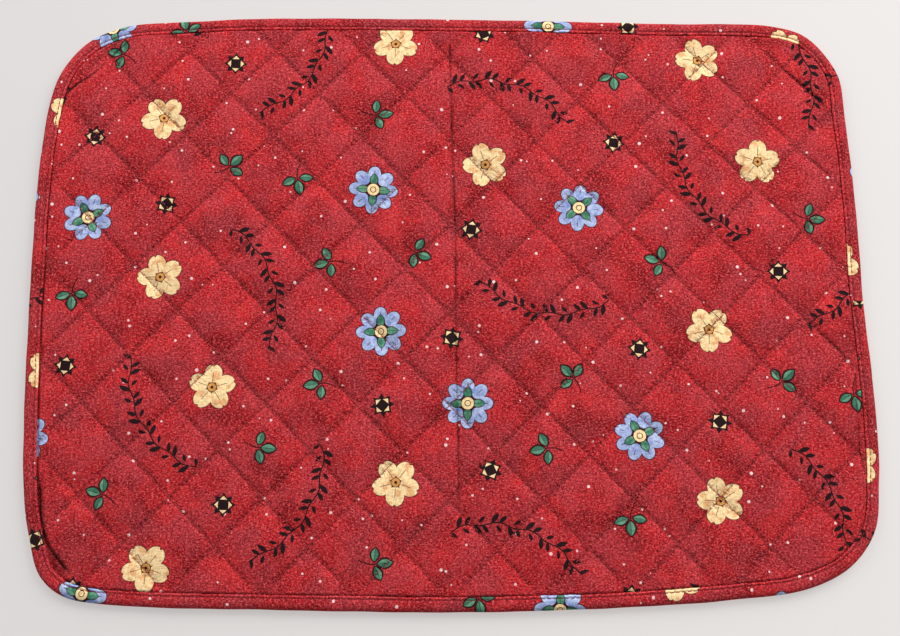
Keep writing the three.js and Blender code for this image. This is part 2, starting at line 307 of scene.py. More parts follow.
def front_height(x, y):
    """Height of the quilted front in millimetres, with its seams, puffs, puckers and creases. It comes out
    from under the binding's lip, and where it is slack it lies low beside it and swells later."""
    inset, reach = nearest_edge(x, y)
    rising, rising_part = between_seams(x, y, RISING_SEAMS)
    falling, falling_part = between_seams(x, y, FALLING_SEAMS)
    swell = np.sin(np.pi * rising_part) * np.sin(np.pi * falling_part)
    differs = 1 + PUFF_UNEVEN * np.sin(2.3 * rising + 4.1 * falling)
    still = EDGE_PUFF + (1 - EDGE_PUFF) * smooth_step(0, EDGE_FALL, inset - reach)
    puff = PUFF_RISE * differs * still * np.clip(swell, 0, 1) ** PUFF_FULLNESS
    puckers = 0
    for part, run, seam in ((rising_part, x + y, rising), (falling_part, x - y, falling)):
        aside = np.minimum(part, 1 - part) * SEAM_PITCH
        seam = np.where(part > 0.5, seam + 1, seam)
        along = run / math.sqrt(2)
        wave = np.sin(2 * np.pi * along / PUCKER_LENGTH + 2.4 * np.sin(along / 13 + 2.1 * seam))
        strength = 0.55 + 0.45 * np.sin(along / 23 + 1.3 * seam)
        puckers = puckers + PUCKER_RISE * strength * wave * np.exp(-aside / PUCKER_SPREAD)
    rumples = RUMPLE_RISE * np.sin(x / 8.3 + 1.7 * np.sin(y / 21)) * np.sin(y / 7.1 + 1.9 * np.sin(x / 17))
    creases = sum(crease_rise(x, y, *crease) for crease in CREASES.values())
    height = SEAM_TOP + puff + puckers + (creases + rumples * np.sqrt(np.clip(swell, 0, 1))) * still
    corner_x, corner_y = SLACK_CORNER
    slack = SLACK_SIDE * smooth_step(-195, -215, x) * smooth_step(90, -60, y)
    slack = slack + np.exp(-(((x - corner_x) / SLACK_REACH) ** 2) - ((y - corner_y) / SLACK_REACH) ** 2)
    bank = (LIP_BANK + FAR_BANK * smooth_step(120, 150, y)) * np.clip(1 - slack, 0, 1)
    height = height + bank * (1 - smooth_step(0, BANK_REACH, inset - reach))
    rim = TAB_TOP - (0.1 + 0.95 * slack) * smooth_step(-0.5, 0.5, inset - reach)
    opened = smooth_step(1.1 * slack, 1.9 * slack + 0.75, inset - reach)
    return rim + opened * (np.maximum(height, SEAM_TOP - SEAM_SINK) - rim)


def back_height(x, y):
    """Height of the back, which lies on the table but for its seams and the pressed edge."""
    inset, reach = nearest_edge(x, y)
    _, rising_part = between_seams(x, y, RISING_SEAMS)
    _, falling_part = between_seams(x, y, FALLING_SEAMS)
    swell = np.clip(np.sin(np.pi * rising_part) * np.sin(np.pi * falling_part), 0, 1)
    height = BACK_RISE * (1 - np.minimum(1, 1.6 * swell**0.5))
    pressed = 1 - smooth_step(0.6, 3.6, inset - reach)
    return height + pressed * (TAB_BOTTOM - height)


def mesh_places(piece):
    """Where a piece's points are, in metres."""
    places = np.empty(3 * len(piece.data.vertices))
    piece.data.vertices.foreach_get("co", places)
    return places.reshape(-1, 3)


def move_points(piece, places):
    """Puts a piece's points at these places, in metres."""
    piece.data.vertices.foreach_set("co", places.astype(np.float32).ravel())
    piece.data.update()


def face_corners(piece):
    """The point at each corner of a piece's faces, which all have four."""
    corners = np.empty(4 * len(piece.data.polygons), int)
    piece.data.polygons.foreach_get("vertices", corners)
    return corners


def selected_points(piece):
    """Which of a piece's points are selected."""
    chosen = np.empty(len(piece.data.vertices), bool)
    piece.data.vertices.foreach_get("select", chosen)
    return chosen


columns = ROWS_PER_SEAM * (len(FALLING_SEAMS) - 1)
rows = ROWS_PER_SEAM * (len(RISING_SEAMS) - 1)
bpy.ops.object.select_all(action="DESELECT")
bpy.ops.mesh.primitive_grid_add(x_subdivisions=columns, y_subdivisions=rows, size=2)
quilt = bpy.context.object
quilt.name = "quilted_front_and_back"


def seam_rows(seams, index):
    """The offset and slope of the row of points with this index, which gather towards the seams."""
    part = (index % ROWS_PER_SEAM) / ROWS_PER_SEAM
    part = part - GATHERED * np.sin(2 * np.pi * part) / (2 * np.pi)
    at = index // ROWS_PER_SEAM + part
    table = np.array(seams)
    return [np.interp(at, np.arange(len(seams)), table[:, k]) for k in (0, 1)]


grid = mesh_places(quilt)
column = np.rint((grid[:, 0] + 1) / 2 * columns)
row = np.rint((grid[:, 1] + 1) / 2 * rows)
rise_offset, rise_slope = seam_rows(RISING_SEAMS, row)
fall_offset, fall_slope = seam_rows(FALLING_SEAMS, column)
x = (fall_offset - rise_offset) / (rise_slope - fall_slope)
y = rise_offset + rise_slope * x
move_points(quilt, np.stack([x, y, 0 * x], axis=1) * MM)

# The grid is cut off a little inside the binding's lip. From there rings of faces follow the edge outwards,
# under the lip and to the tab's own edge inside the binding.
inset, reach = nearest_edge(x, y)
inside = inset > reach + RINGS[0]
outside = ~inside[face_corners(quilt).reshape(-1, 4)].all(1)
bpy.ops.object.mode_set(mode="EDIT")
bpy.ops.mesh.select_mode(type="FACE")
bpy.ops.mesh.select_all(action="DESELECT")
bpy.ops.object.mode_set(mode="OBJECT")
quilt.data.polygons.foreach_set("select", outside)
bpy.ops.object.mode_set(mode="EDIT")
bpy.ops.mesh.delete(type="FACE")
bpy.ops.mesh.select_mode(type="VERT")
bpy.ops.mesh.select_all(action="DESELECT")
bpy.ops.mesh.select_non_manifold()
bpy.ops.object.mode_set(mode="OBJECT")


def trim_rim(piece, step):
    """Moves the selected points of the rim onto a smooth line that follows the edge: as far inside the
    binding's lip as step says, or at the tab's own edge if it is None."""
    places = mesh_places(piece)
    rim = selected_points(piece)
    edge, inward, reach = edge_places(RIM_STEPS)
    nearest = ((places[rim, None, :2] / MM - edge[None]) ** 2).sum(2).argmin(1)
    wanted = TAB_INSET if step is None else reach[nearest] + step
    places[rim, :2] = (edge[nearest] + inward[nearest] * np.reshape(wanted, (-1, 1))) * MM
    move_points(piece, places)


trim_rim(quilt, RINGS[0])
for step in RINGS[1:] + [None]:
    bpy.ops.object.mode_set(mode="EDIT")
    bpy.ops.mesh.select_mode(type="VERT")
    bpy.ops.mesh.extrude_edges_move()
    bpy.ops.object.mode_set(mode="OBJECT")
    trim_rim(quilt, step)

bpy.ops.object.mode_set(mode="EDIT")
bpy.ops.mesh.select_all(action="SELECT")
bpy.ops.mesh.extrude_region_move(TRANSFORM_OT_translate={"value": (0, 0, -5 * MM)})
bpy.ops.object.mode_set(mode="OBJECT")
places = mesh_places(quilt)
x, y = places[:, 0] / MM, places[:, 1] / MM
on_front = places[:, 2] > -1 * MM
places[:, 2] = np.where(on_front, front_height(x, y), back_height(x, y)) * MM
move_points(quilt, places)
bpy.ops.object.mode_set(mode="EDIT")
bpy.ops.mesh.select_all(action="SELECT")
bpy.ops.mesh.normals_make_consistent(inside=False)
bpy.ops.object.mode_set(mode="OBJECT")
bpy.ops.object.shade_smooth()


# The print's repeat: loose flowers, stars and leaf sprigs at any turn, among curved vines and dots. Each
# next repeat to the right sits half a repeat higher.
REPEAT = np.array([300.0, 250.0])
VINE_RADIUS = 56
VINE_HALF = 39  # half the length of a vine
# How many of each motif a repeat holds, and how much room one takes, as a radius
MOTIFS = {"vine": (5, 6.5), "rosette": (5, 15), "blossom": (5, 14), "sprig": (11, 10.5), "star": (8, 7)}
KINDS = ["rosette", "blossom", "sprig", "star"]
PRINT_SEED = 11
CANDIDATES = 300


def vine_places(turn, runs=(-34, -17, 0, 17, 34)):
    """Places along a vine, from its middle."""
    runs = np.array(runs) / VINE_RADIUS
    u, v = VINE_RADIUS * np.sin(runs), VINE_RADIUS * (np.cos(runs) - 1)
    return np.stack([u * math.cos(turn) - v * math.sin(turn), u * math.sin(turn) + v * math.cos(turn)], 1)


def repeats_about(low, high):
    """The shifts of the repeats that cover a stretch of flat cloth."""
    low, high = np.array(low) / REPEAT, np.array(high) / REPEAT
    for across in range(math.floor(low[0]) - 2, math.ceil(high[0]) + 2):
        drop = across * 0.5
        for along in range(math.floor(low[1] - drop) - 2, math.ceil(high[1] - drop) + 2):
            yield np.array([across, along + drop]) * REPEAT


def toss_motifs():
    """Places the motifs of one repeat, each as far from the others as a few hundred tries find."""
    rng = np.random.default_rng(PRINT_SEED)
    shifts = np.array(list(repeats_about((0, 0), (1, 1))))
    taken = np.empty((0, 3))
    tossed = []
    for kind, (count, radius) in MOTIFS.items():
        for _ in range(count):
            best = (-math.inf,)
            tries = rng.random((CANDIDATES, 2)) * REPEAT
            turns = rng.random(CANDIDATES) * 2 * math.pi
            for place, turn in zip(tries, turns):
                spots = place + (vine_places(turn) if kind == "vine" else np.zeros((1, 2)))
                clear = math.inf
                if len(taken):
                    apart = spots[:, None, None] - shifts[:, None] - taken[:, :2]
                    clear = (np.linalg.norm(apart, axis=3) - taken[:, 2]).min() - radius
                if clear > best[0]:
                    best = (clear, place, turn, spots)
                if not len(taken):
                    break
            tossed.append((kind, best[1], best[2]))
            taken = np.vstack([taken, np.c_[best[3], np.full(len(best[3]), radius)]])
    return tossed


tossed_motifs = toss_motifs()


def lay_print(piece, cloth):
    """Gives a piece of cloth the coordinates that its print is drawn in. cloth holds the place of each face
    corner on the flat cloth. Each face reads the motif and the vine that lie nearest to it."""
    middles = cloth.reshape(-1, 4, 2).mean(1)
    shifts = list(repeats_about(middles.min(0), middles.max(0)))
    for layer, kinds in (("motif", KINDS), ("vine", ["vine"])):
        laid = [(k, p + shift, turn) for k, p, turn in tossed_motifs if k in kinds for shift in shifts]
        spots, owner, clear = [], [], []
        for index, (kind, place, turn) in enumerate(laid):
            about = vine_places(turn) if kind == "vine" else np.zeros((1, 2))
            spots.extend(place + about)
            owner.extend([index] * len(about))
            clear.extend([MOTIFS[kind][1]] * len(about))
        spots, owner, clear = np.array(spots), np.array(owner), np.array(clear)
        nearest = [
            (np.linalg.norm(part[:, None] - spots, axis=2) - clear).argmin(1)
            for part in np.array_split(middles, max(1, len(middles) // BATCH))
        ]
        mine = np.repeat(owner[np.concatenate(nearest)], 4)
        offset = cloth - np.array([place for _, place, _ in laid])[mine]
        turn = np.array([turn for _, _, turn in laid])[mine]
        u = offset[:, 0] * np.cos(turn) + offset[:, 1] * np.sin(turn)
        v = offset[:, 1] * np.cos(turn) - offset[:, 0] * np.sin(turn)
        piece.data.uv_layers.new(name=layer).uv.foreach_set("vector", np.stack([u, v], 1).ravel())
        if layer == "motif":
            kind = np.array([float(kinds.index(k)) for k, _, _ in laid])[mine]
            piece.data.attributes.new("motif_kind", "FLOAT", "CORNER").data.foreach_set("value", kind)
    piece.data.uv_layers.new(name="cloth").uv.foreach_set("vector", cloth.ravel())


class Field:
    """A number that varies over the cloth, worked out by Math nodes, so that a shape is written as a sum."""

    def __init__(self, socket):
        self.socket = socket

    def work(self, operation, *others, clamp=False):
        tree = self.socket.id_data
        node = tree.nodes.new("ShaderNodeMath")
        node.operation = operation
        node.use_clamp = clamp
        for slot, value in zip(node.inputs, (self, *others)):
            if isinstance(value, Field):
                tree.links.new(value.socket, slot)
            else:
                slot.default_value = value
        return Field(node.outputs[0])

    def __add__(self, other):
        return self.work("ADD", other)

    def __sub__(self, other):
        return self.work("SUBTRACT", other)

    def __rsub__(self, other):
        return self.work("MULTIPLY_ADD", -1, other)

    def __mul__(self, other):
        return self.work("MULTIPLY", other)

    def __truediv__(self, other):
        return self.work("DIVIDE", other)

    def __abs__(self):
        return self.work("ABSOLUTE")

    def sine(self):
        return self.work("SINE")

    def least(self, other):
        return self.work("MINIMUM", other)

    def most(self, other):
        return self.work("MAXIMUM", other)

    def under(self, limit, blur):
        """1 where the field is under the limit, and 0 above it, with a short blur between."""
        return self.work("MULTIPLY_ADD", -0.5 / blur, 0.5 + 0.5 * limit / blur, clamp=True)

    def between(self, low, high):
        """0 where the field is under low, 1 over high."""
        return self.work("MULTIPLY_ADD", 1 / (high - low), -low / (high - low), clamp=True)


def read_map(tree, name):
    """A socket that gives one of the cloth's maps."""
    source = tree.nodes.new("ShaderNodeUVMap")
    source.uv_map = name
    return source.outputs["UV"]


def map_fields(tree, name):
    """The two coordinates of one of the cloth's maps."""
    split = tree.nodes.new("ShaderNodeSeparateXYZ")
    tree.links.new(read_map(tree, name), split.inputs["Vector"])
    return Field(split.outputs["X"]), Field(split.outputs["Y"])


def cloud(tree, size, detail=2.0, roughness=0.5, stretch=(1, 1), shift=0.0, turn=0.0):
    """Soft noise on the flat cloth, from 0 to 1, with lumps of about this size."""
    fit = tree.nodes.new("ShaderNodeMapping")
    fit.vector_type = "TEXTURE"
    fit.inputs["Scale"].default_value = (size * stretch[0], size * stretch[1], 1)
    fit.inputs["Rotation"].default_value = (0, 0, math.radians(turn))
    fit.inputs["Location"].default_value = (shift * 7, shift * 11, 0)
    noise = tree.nodes.new("ShaderNodeTexNoise")
    noise.noise_dimensions = "2D"
    noise.inputs["Scale"].default_value = 1
    noise.inputs["Detail"].default_value = detail
    noise.inputs["Roughness"].default_value = roughness
    tree.links.new(read_map(tree, "cloth"), fit.inputs["Vector"])
    tree.links.new(fit.outputs["Vector"], noise.inputs["Vector"])
    return Field(noise.outputs["Fac"])


def paint(under, over, share):
    """Lays one colour over another. A colour is a socket, or three numbers as a screen gives them."""
    tree = share.socket.id_data
    mix = tree.nodes.new("ShaderNodeMix")
    mix.data_type = "RGBA"
    tree.links.new(share.socket, mix.inputs["Factor"])
    for name, colour in (("A", under), ("B", over)):
        if isinstance(colour, tuple):
            mix.inputs[name].default_value = display_colour(*colour)
        else:
            tree.links.new(colour, mix.inputs[name])
    return mix.outputs["Result"]


# The motifs are drawn about their middles, with all their sizes in millimetres.
INK_BLUR = 0.1  # how soft the print's edges are
OUTLINE = (58, 22, 26)
BLACK = (40, 24, 27)
CREAM = (255, 222, 168)
BLUSH = (233, 178, 124)  # the cream's warmer shade
VEIN = (120, 60, 44)
GOLD = (214, 152, 84)
GREENS = (58, 116, 92), (106, 162, 132)
BLUES = (128, 146, 203), (186, 199, 234)
DOT = (252, 212, 212)
DUSKY = (170, 66, 77)
DARK_FLECK = (86, 6, 12)
BRIGHT_FLECK = (232, 98, 98)
ROSETTE_PETALS = 8
ROSETTE_SEPALS = 4
BLOSSOM_PETALS = 5
STAR_POINTS = 8
STAR_TIP = 6.6
STAR_VALLEY = 4.3
# Leaves, by their middle, turn, length and width
SPRIG_LEAVES = [(0, 5.4, 90, 8.6, 5.0), (-4.9, 0.6, 168, 7.6, 4.4), (4.8, 1.2, 18, 8.0, 4.6)]
VINE_LEAVES = [(-1.8, 3.0, 58, 6.6, 2.6), (2.3, 2.7, 50, 5.4, 2.2), (0.6, -2.4, -46, 4.6, 1.9)]
VINE_CELL = 9.0  # the length of vine that bears one set of leaves, on the other side each time


def polar(u, v, petals):
    """How far along and aside of the nearest of several petals a place lies."""
    radius = (u * u + v * v).work("SQRT")
    fold = v.work("ARCTAN2", u).work("PINGPONG", math.pi / petals)
    return radius, radius * fold.work("COSINE"), radius * fold.sine()


def leaf(u, v, x, y, turn, length, width):
    """Under 1 inside a pointed leaf, with the place across its midrib."""
    turn = math.radians(turn)
    along = (u - x) * math.cos(turn) + (v - y) * math.sin(turn)
    across = (v - y) * math.cos(turn) - (u - x) * math.sin(turn)
    tip = along / (length / 2)
    return abs(across) / (width / 2) + tip * tip, across


def draw_rosette(colour, u, v, wash):
    """Round blue petals, each with a short vein, then green sepals and a cream middle with a ring in it."""
    radius, along, aside = polar(u, v, ROSETTE_PETALS)
    petal = (((along - 9.0) / 5.0).work("POWER", 2) + (aside / 3.9).work("POWER", 2)).work("SQRT")
    inside = petal.under(1.0, 0.03).most(radius.under(9.0, INK_BLUR))
    colour = paint(colour, OUTLINE, inside)
    blue = paint(BLUES[0], BLUES[1], (along - 6).between(0, 9).most(wash))
    colour = paint(colour, blue, petal.under(0.9, 0.03))
    vein = aside.under(0.16, 0.08) * along.between(8, 8.3) * along.under(11, 0.2)
    colour = paint(colour, OUTLINE, vein)
    _, along, aside = polar(u, v, ROSETTE_SEPALS)
    sepal = aside / 2.2 + ((along - 5.6) / 3.9).work("POWER", 2)
    colour = paint(colour, OUTLINE, sepal.under(1.12, 0.05))
    green = paint(GREENS[0], GREENS[1], aside.between(0.1, 0.3) * wash.between(0.2, 0.9))
    colour = paint(colour, green, sepal.under(0.9, 0.05))
    colour = paint(colour, OUTLINE, radius.under(3.7, INK_BLUR))
    colour = paint(colour, CREAM, radius.under(3.3, INK_BLUR))
    ring = abs(radius - 1.5).under(0.22, 0.08)
    return paint(colour, OUTLINE, ring)


def draw_blossom(colour, u, v, wash):
    """Broad cream petals, notched at their ends and veined, about a golden middle."""
    radius, along, aside = polar(u, v, BLOSSOM_PETALS)
    petal = (((along - 7.6) / 5.6).work("POWER", 2) + (aside / 5.2).work("POWER", 2)).work("SQRT")
    notch = aside * 0.9 + 12.1
    inside = petal.under(1.0, 0.03) * (along - notch).under(0, INK_BLUR)
    colour = paint(colour, OUTLINE, inside)
    inner = petal.under(0.93, 0.03) * (along - notch).under(-0.4, INK_BLUR)
    cream = paint(CREAM, BLUSH, wash.between(0.5, 1.0))
    colour = paint(colour, cream, inner)
    vein = aside.under(0.17, 0.08) * along.between(3, 3.2) * along.under(8.4, 0.2)
    colour = paint(colour, VEIN, vein)
    colour = paint(colour, OUTLINE, radius.under(2.7, INK_BLUR))
    colour = paint(colour, GOLD, radius.under(2.3, INK_BLUR))
    return paint(colour, OUTLINE, radius.under(0.8, INK_BLUR))


def draw_sprig(colour, u, v, wash):
    """Three green leaves with dark midribs on a bent stem."""
    bend = v * v * 0.045
    stem = abs(u + bend) + (v + 4).between(4.6, 5.2) * 5 + v.under(-8.6, 0.3) * 5
    colour = paint(colour, OUTLINE, stem.under(0.34, 0.1))
    for place in SPRIG_LEAVES:
        inside, across = leaf(u, v, *place)
        colour = paint(colour, OUTLINE, inside.under(1.28, 0.06))
        green = paint(GREENS[0], GREENS[1], across.between(-0.4, 0.8) * 0.7 + wash * 0.3)
        colour = paint(colour, green, inside.under(0.84, 0.06))
        colour = paint(colour, OUTLINE, abs(across).under(0.12, 0.08) * inside.under(0.8, 0.05))
    return colour


def draw_star(colour, u, v):
    """A black patchwork star, with four cream corners about a black square."""
    _, along, aside = polar(u, v, STAR_POINTS)
    half_point = math.pi / STAR_POINTS
    edge_x = STAR_VALLEY * math.cos(half_point) - STAR_TIP
    edge_y = STAR_VALLEY * math.sin(half_point)
    long = math.hypot(edge_x, edge_y)
    outer = (along - STAR_TIP) * (edge_y / long) - aside * (edge_x / long)
    colour = paint(colour, BLACK, outer.under(0, INK_BLUR))
    square = abs(u).most(abs(v))
    corner = (3.9 - (abs(u) + abs(v))).most(square - 3.3)
    return paint(colour, CREAM, corner.under(0, INK_BLUR))


def draw_vine(colour, u, v):
    """A black stem that waves along an arc, with sets of small leaves on either side in turn."""
    out = v + VINE_RADIUS
    run = u.work("ARCTAN2", out) * VINE_RADIUS
    rise = (u * u + out * out).work("SQRT") - VINE_RADIUS
    ends = abs(run).under(VINE_HALF, 0.4)
    wave = (run * (math.pi / VINE_CELL)).sine()
    stem = abs(rise - wave * 0.8)
    colour = paint(colour, BLACK, stem.under(0.36, 0.12) * ends)
    cell = run.work("FLOORED_MODULO", VINE_CELL) - VINE_CELL / 2
    side = rise * wave.work("SIGN")
    for place in VINE_LEAVES:
        inside, _ = leaf(cell, side, *place)
        colour = paint(colour, BLACK, inside.under(1, 0.08) * ends)
    return colour


def draw_dots(colour, tree, spacing, radius, shift):
    """Scattered small dots of uneven size, one to each cell of an uneven net."""
    fit = tree.nodes.new("ShaderNodeMapping")
    fit.inputs["Scale"].default_value = (1 / spacing, 1 / spacing, 1)
    fit.inputs["Location"].default_value = (shift, shift * 0.7, 0)
    cells = tree.nodes.new("ShaderNodeTexVoronoi")
    cells.voronoi_dimensions = "2D"
    cells.inputs["Scale"].default_value = 1
    tree.links.new(read_map(tree, "cloth"), fit.inputs["Vector"])
    tree.links.new(fit.outputs["Vector"], cells.inputs["Vector"])
    chance = tree.nodes.new("ShaderNodeSeparateColor")
    tree.links.new(cells.outputs["Color"], chance.inputs["Color"])
    size = Field(chance.outputs["Red"]) * (0.7 * radius / spacing) + 0.65 * radius / spacing
    spot = (Field(cells.outputs["Distance"]) - size).under(0, 0.12 / spacing)
    return paint(colour, DOT, spot)


FLECK_SIZE = 0.85


def dyed_ground(tree, crimson, maroon, bright):
    """The dyed ground: cloudy darker, brighter and duskier patches, and a fine stipple over them."""
    broad = cloud(tree, 26, detail=4, roughness=0.62)
    colour = paint(maroon, crimson, broad.between(0.36, 0.56))
    glow = cloud(tree, 17, detail=3, roughness=0.55, shift=31)
    colour = paint(colour, bright, glow.between(0.48, 0.76))
    small = cloud(tree, 7, detail=2, roughness=0.65, shift=57)
    colour = paint(colour, maroon, small.between(0.52, 0.8) * 0.6)
    dusk = cloud(tree, 21, detail=4, roughness=0.6, shift=91)
    colour = paint(colour, DUSKY, dusk.between(0.42, 0.6) * 0.4)
    darker = cloud(tree, FLECK_SIZE, detail=2, roughness=0.85, stretch=(1, 1.6), shift=77)
    colour = paint(colour, DARK_FLECK, darker.between(0.52, 0.65) * 0.92)
    lighter = cloud(tree, FLECK_SIZE, detail=2, roughness=0.85, stretch=(1.6, 1), shift=23)
    return paint(colour, BRIGHT_FLECK, lighter.between(0.52, 0.645) * 0.78)


THREAD_LUMP = 0.8


def show_threads(tree, colour, shade):
    """Threads of uneven weight, a little lighter and darker in every colour of the cloth. shade is the dark
    of the creases that are too narrow to let light in."""
    warp = cloud(tree, THREAD_LUMP, detail=0, stretch=(1, 3.2))
    weft = cloud(tree, THREAD_LUMP, detail=0, stretch=(3.2, 1), shift=13)
    tone = tree.nodes.new("ShaderNodeHueSaturation")
    tree.links.new(((warp + weft) * 0.42 + 0.58 - shade).socket, tone.inputs["Value"])
    tree.links.new(colour, tone.inputs["Color"])
    return tone.outputs["Color"]


SEAM_SHADE = 0.3  # how much painted shade darkens the cloth right at a seam
PUCKER_LUMP = 1.9
PUCKER_BUMP = 2.3


def quilted_creases(tree):
    """How much painted shade darkens the cloth in the quilting seams and the sharp folds, and the rise in
    millimetres of the sharp folds and of the puckers beside the seams."""
    asides = map_fields(tree, "seam")
    # Painted shade along the seams' valleys.
    shade = (1 - asides[0].least(asides[1]).between(0.1, 0.9)) * SEAM_SHADE
    across, depth = map_fields(tree, "fold")
    fold = 1 - abs(across).between(0.05, 1)
    relief = fold * fold * depth * -1
    for aside, turn in zip(asides, (45, -45)):
        pulled = 1 - aside.between(0.2, PUCKER_SPREAD)
        puckers = cloud(tree, PUCKER_LUMP, roughness=0.6, stretch=(1, 1.8), shift=turn, turn=turn) - 0.5
        relief = relief + puckers * pulled * pulled * PUCKER_BUMP
    # Painted shade in the sharp folds, added to the seams' painted shade.
    return shade + fold * fold * fold * depth.between(0.2, 0.85), relief


THREAD_PITCH = 0.38
WEAVE_BUMP = 0.02
CRUMPLE_BUMPS = 0.28, 0.09  # the broader and the finer crumples


def cotton_surface(tree, surface, colour, creases):
    """A matt plain weave with fine crumples under the colour. creases is the function that gives the shade
    and the rise of the piece's own creases."""
    shade, relief = creases(tree)
    tree.links.new(show_threads(tree, colour, shade), surface.inputs["Base Color"])
    surface.inputs["Roughness"].default_value = 0.92
    surface.inputs["Specular IOR Level"].default_value = 0.08
    surface.inputs["Sheen Weight"].default_value = 0.02
    surface.inputs["Sheen Roughness"].default_value = 0.5
    u, v = map_fields(tree, "cloth")
    thread = math.pi / THREAD_PITCH
    weave = (u * thread).sine() * (v * thread).sine() * WEAVE_BUMP
    broad = cloud(tree, 4.5, detail=3, roughness=0.6, shift=5) * CRUMPLE_BUMPS[0]
    fine = cloud(tree, 0.8, detail=2, roughness=0.6, shift=9) * CRUMPLE_BUMPS[1]
    relief = relief + weave + (broad + fine)
    bump = tree.nodes.new("ShaderNodeBump")
    bump.inputs["Distance"].default_value = MM
    tree.links.new(relief.socket, bump.inputs["Height"])
    tree.links.new(bump.outputs["Normal"], surface.inputs["Normal"])


def printed_cotton(name, crimson, maroon, bright, creases):
    """The dyed ground, with the dots, the vines and then the other motifs printed over it."""
    material, tree, surface = new_material(name)
    colour = dyed_ground(tree, crimson, maroon, bright)
    colour = draw_dots(colour, tree, spacing=27, radius=0.68, shift=3)
    colour = draw_dots(colour, tree, spacing=34, radius=0.52, shift=17)
    colour = draw_vine(colour, *map_fields(tree, "vine"))
    u, v = map_fields(tree, "motif")
    source = tree.nodes.new("ShaderNodeAttribute")
    source.attribute_name = "motif_kind"
    kind_here = Field(source.outputs["Fac"])
    wash = cloud(tree, 5, shift=41).between(0.35, 0.65)
    drawings = {
        "rosette": draw_rosette(colour, u, v, wash),
        "blossom": draw_blossom(colour, u, v, wash),
        "sprig": draw_sprig(colour, u, v, wash),
        "star": draw_star(colour, u, v),
    }
    for kind, drawing in drawings.items():
        colour = paint(colour, drawing, kind_here.work("COMPARE", KINDS.index(kind), 0.2))
    cotton_surface(tree, surface, colour, creases)
    return material


def fold_map(x, y, corners):
    """How far across the nearest sharp fold each face corner lies, in half widths, and the fold's depth
    there, which varies a little along it."""
    across, depths = [], []
    for line, width, depth in SHARP_FOLDS:
        line = np.array(line, float)
        closest = np.full(len(x), math.inf)
        signed, run_here = np.zeros(len(x)), np.zeros(len(x))
        run = 0
        for start, end in zip(line[:-1], line[1:]):
            length = np.linalg.norm(end - start)
            way = (end - start) / length
            along = np.clip((x - start[0]) * way[0] + (y - start[1]) * way[1], 0, length)
            apart = np.hypot(x - start[0] - way[0] * along, y - start[1] - way[1] * along)
            side = np.sign((y - start[1]) * way[0] - (x - start[0]) * way[1])
            nearer = apart < closest
            closest = np.where(nearer, apart, closest)
            signed = np.where(nearer, apart * side, signed)
            run_here = np.where(nearer, run + along, run_here)
            run += length
        fade = min(FOLD_FADE, run / 4)
        across.append(signed / width)
        uneven = 1 + 0.2 * np.sin(run_here / 7)
        ends = smooth_step(0, fade, run_here) * smooth_step(run, run - fade, run_here)
        depths.append(depth * uneven * ends)
    across, depths = np.array(across)[:, corners], np.array(depths)[:, corners]
    mine = np.abs(across).reshape(len(SHARP_FOLDS), -1, 4).mean(2).argmin(0).repeat(4)
    corner = np.arange(len(corners))
    return np.stack([across[mine, corner], depths[mine, corner]], axis=1)


corners = face_corners(quilt)
places = mesh_places(quilt)
lay_print(quilt, places[corners, :2] / MM)
x, y = places[:, 0] / MM, places[:, 1] / MM
parts = [between_seams(x, y, seams)[1] for seams in (RISING_SEAMS, FALLING_SEAMS)]
aside = [np.minimum(part, 1 - part) * SEAM_PITCH for part in parts]
quilt.data.uv_layers.new(name="seam").uv.foreach_set("vector", np.stack(aside, 1)[corners].ravel())
quilt.data.uv_layers.new(name="fold").uv.foreach_set("vector", fold_map(x, y, corners).ravel())
CRIMSON, MAROON, BRIGHT = (190, 34, 42), (142, 16, 26), (216, 47, 52)
BACK_DARK, BACK_BRIGHT = (170, 36, 43), (194, 49, 56)
quilt.data.materials.append(printed_cotton("printed_cotton", CRIMSON, MAROON, BRIGHT, quilted_creases))
material, tree, surface = new_material("back_cotton")
cotton_surface(tree, surface, dyed_ground(tree, CRIMSON, BACK_DARK, BACK_BRIGHT), quilted_creases)
quilt.data.materials.append(material)
face_on_back = ~on_front[corners.reshape(-1, 4)].any(1)
quilt.data.polygons.foreach_set("material_index", face_on_back.astype(np.int32))

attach(quilt, "root")
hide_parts("quilted_mat")


# Binding
# A strip of the same cotton, folded over the raw edge all the way round, both its edges turned under, and
# topstitched through the two lips close to the inner one.
STITCHES_ROUND = 480
STEPS_PER_STITCH = 4
GROOVE_INSET = 1.7
GROOVE_TOP = 3.84
HOLE_DEPTH = 0.13
HOLE_REACH = 1.3
STRIP_PLACE = 62  # where across the repeat the strip is cut
STRIP_CRIMSON, STRIP_MAROON, STRIP_BRIGHT = (179, 34, 42), (137, 17, 26), (204, 47, 53)
# Its section from the outer fold over the front, round the front lip, along the inside and back underneath:
# share of the binding's width, inset, height
SECTION = [
    (0, 0, 1.9), (0, 0.1, 2.6), (0, 0.42, 3.3), (0, 1.0, 3.85), (0.26, 0, 4.18), (0.4, 0, 4.3),
    (0.55, 0, 4.28), (1, -2.6, 4.2), (1, -2.2, 4.12), (1, -1.9, 3.95), (1, -GROOVE_INSET, GROOVE_TOP),
    (1, -1.5, 3.92), (1, -1.2, 4.06), (1, -0.85, 4.12), (1, -0.5, 4.08), (1, -0.2, 3.92),
    (1, -0.03, 3.66), (1, 0, 3.35), (1, -0.15, 3.08), (1, -0.6, 3.0), (0.5, 1.2, 3.0), (0, 2.1, 3.0),
    (0, 2.0, 2.7), (0, 2.0, 1.2), (0, 2.1, 0.9), (0.5, 1.2, 0.9), (1, -0.6, 0.9), (1, -0.1, 0.8),
    (1, 0, 0.5), (1, -0.1, 0.15), (1, -0.5, 0), (0.5, 0.6, 0), (0, 1.4, 0), (0, 0.7, 0.2),
    (0, 0.25, 0.75), (0, 0.05, 1.3),
]
GROOVE_POINT = 10  # the point of the section that lies under the topstitching
LIP_POINT = 14  # and the one on top of the lip
